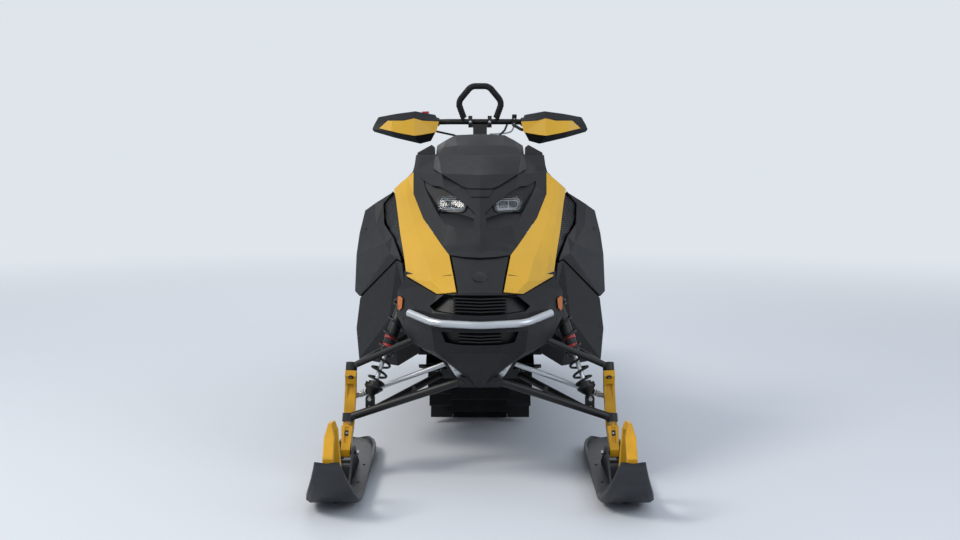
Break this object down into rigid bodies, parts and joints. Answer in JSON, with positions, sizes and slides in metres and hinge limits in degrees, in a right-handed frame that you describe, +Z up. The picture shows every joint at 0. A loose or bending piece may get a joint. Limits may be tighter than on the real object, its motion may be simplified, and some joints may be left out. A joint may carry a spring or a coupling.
{
  "type": "mountain snowmobile",
  "caption": "Mountain snowmobile with two skis on A-arms, a faceted hood and side panels, handlebars with hand guards, a short seat and one long deep-lugged track under a tunnel.",
  "frame": {"origin": "middle of the floor under the whole machine as it stands on its skis and track", "axes": "+Z up, the nose and skis towards -Y, +X to the rider's left"},
  "size_m": [1.098, 3.24, 1.388],
  "materials": {
    "tunnel_alloy": "satin black coated",
    "board_alloy": "satin black coated",
    "bulkhead": "cast, dark",
    "shock_towers": "cast, dark",
    "engine": "cast",
    "steering_frame": "satin black",
    "belly_pan": "moulded",
    "nose_panel": "moulded",
    "grilles": "moulded",
    "front_bumper": "satin",
    "reflectors": "amber",
    "hood": "moulded",
    "headlights": "clear over grey",
    "hood_sides": "golden yellow",
    "side_panels": "moulded",
    "footwells": "moulded",
    "windshield": "dark tinted",
    "console": "moulded",
    "display": "dark screen",
    "fuel_tank": "moulded",
    "seat": "vinyl cover",
    "rear_bumper": "satin black",
    "tail_light": "red",
    "snow_flap": "moulded",
    "track_rubber": "moulded",
    "drive_axle": "moulded on steel",
    "idler_wheels": "moulded",
    "slide_rails": "extruded",
    "skid_arms": "satin black",
    "skid_shocks": "satin",
    "lower_arms": "satin black",
    "upper_arms": "satin black",
    "ski_shocks": "satin",
    "steering_post": "satin black",
    "handlebar": "satin black",
    "grips": "moulded",
    "handguards": "moulded",
    "guard_covers": "golden yellow",
    "grab_loop": "moulded over tube",
    "hand_controls": "moulded",
    "stop_switch": "red",
    "control_cables": "sheath",
    "pitman_arm": "satin",
    "spindle": "golden yellow",
    "tie_rod": "satin",
    "ski": "moulded",
    "ski_handle": "golden yellow"
  },
  "bodies": {
    "chassis": {"tunnel": "tunnel_alloy", "running_boards": "board_alloy", "front_bulkhead": "bulkhead", "shock_towers": "shock_towers", "engine_block": "engine", "steering_frame": "steering_frame", "belly_pan": "belly_pan", "nose_panel": "nose_panel", "grilles": "grilles", "front_bumper": "front_bumper", "reflectors": "reflectors", "hood": "hood", "headlights": "headlights", "hood_sides": "hood_sides", "side_panels": "side_panels", "footwells": "footwells", "windshield": "windshield", "console": "console", "display": "display", "fuel_tank": "fuel_tank", "seat": "seat", "rear_bumper": "rear_bumper", "tail_light": "tail_light", "snow_flap": "snow_flap", "track": "track_rubber", "drive_axle": "drive_axle", "idler_wheels": "idler_wheels", "slide_rails": "slide_rails", "skid_arms": "skid_arms", "skid_shocks": "skid_shocks", "lower_arms": "lower_arms", "upper_arms": "upper_arms", "ski_shocks": "ski_shocks"},
    "handlebars": {"steering_post": "steering_post", "handlebar": "handlebar", "grips": "grips", "handguards": "handguards", "guard_covers": "guard_covers", "grab_loop": "grab_loop", "hand_controls": "hand_controls", "stop_switch": "stop_switch", "control_cables": "control_cables"},
    "pitman": {"pitman_arm": "pitman_arm"},
    "leg_left": {"spindle_left": "spindle"},
    "tie_rod_left_body": {"tie_rod_left": "tie_rod"},
    "ski_left_body": {"ski_left": "ski", "ski_handle_left": "ski_handle"},
    "leg_right": {"spindle_right": "spindle"},
    "tie_rod_right_body": {"tie_rod_right": "tie_rod"},
    "ski_right_body": {"ski_right": "ski", "ski_handle_right": "ski_handle"}
  },
  "joints": [
    {"name": "steering", "type": "hinge", "parent": "chassis", "child": "handlebars", "pos_m": [0, -0.225, 1.238], "axis": [0, 0.309, 0.9511], "range_deg": [-38, 38]},
    {"name": "pitman_turn", "type": "hinge", "parent": "chassis", "child": "pitman", "pos_m": [0, -0.95125, 0.44478], "axis": [0, 0.3346, 0.9424], "range_deg": [-30.5, 30.5]},
    {"name": "ski_left_turn", "type": "hinge", "parent": "chassis", "child": "leg_left", "pos_m": [0.458, -0.98, 0.209], "axis": [-0.0446, 0.3342, 0.9414], "range_deg": [-30.5, 30.5]},
    {"name": "tie_rod_left_swing", "type": "hinge", "parent": "leg_left", "child": "tie_rod_left_body", "pos_m": [0.45487, -0.86455, 0.25921], "axis": [-0.0446, 0.3342, 0.9414], "range_deg": [-32.5, 32.5]},
    {"name": "ski_left_pitch", "type": "hinge", "parent": "leg_left", "child": "ski_left_body", "pos_m": [0.463, -1.02, 0.095], "axis": [1, 0, 0], "range_deg": [-12, 12], "stiffness_Nm_per_rad": 150},
    {"name": "ski_right_turn", "type": "hinge", "parent": "chassis", "child": "leg_right", "pos_m": [-0.458, -0.98, 0.209], "axis": [0.0446, 0.3342, 0.9414], "range_deg": [-30.5, 30.5]},
    {"name": "tie_rod_right_swing", "type": "hinge", "parent": "leg_right", "child": "tie_rod_right_body", "pos_m": [-0.45487, -0.86455, 0.25921], "axis": [0.0446, 0.3342, 0.9414], "range_deg": [-32.5, 32.5]},
    {"name": "ski_right_pitch", "type": "hinge", "parent": "leg_right", "child": "ski_right_body", "pos_m": [-0.463, -1.02, 0.095], "axis": [1, 0, 0], "range_deg": [-12, 12], "stiffness_Nm_per_rad": 150}
  ],
  "couplings": [
    {"joint": "pitman_turn", "follows": "steering", "ratio": 0.79},
    {"joint": "ski_left_turn", "follows": "steering", "ratio": 0.79},
    {"joint": "tie_rod_left_swing", "follows": "steering", "ratio": -0.84},
    {"joint": "ski_right_turn", "follows": "steering", "ratio": 0.79},
    {"joint": "tie_rod_right_swing", "follows": "steering", "ratio": -0.84}
  ]
}
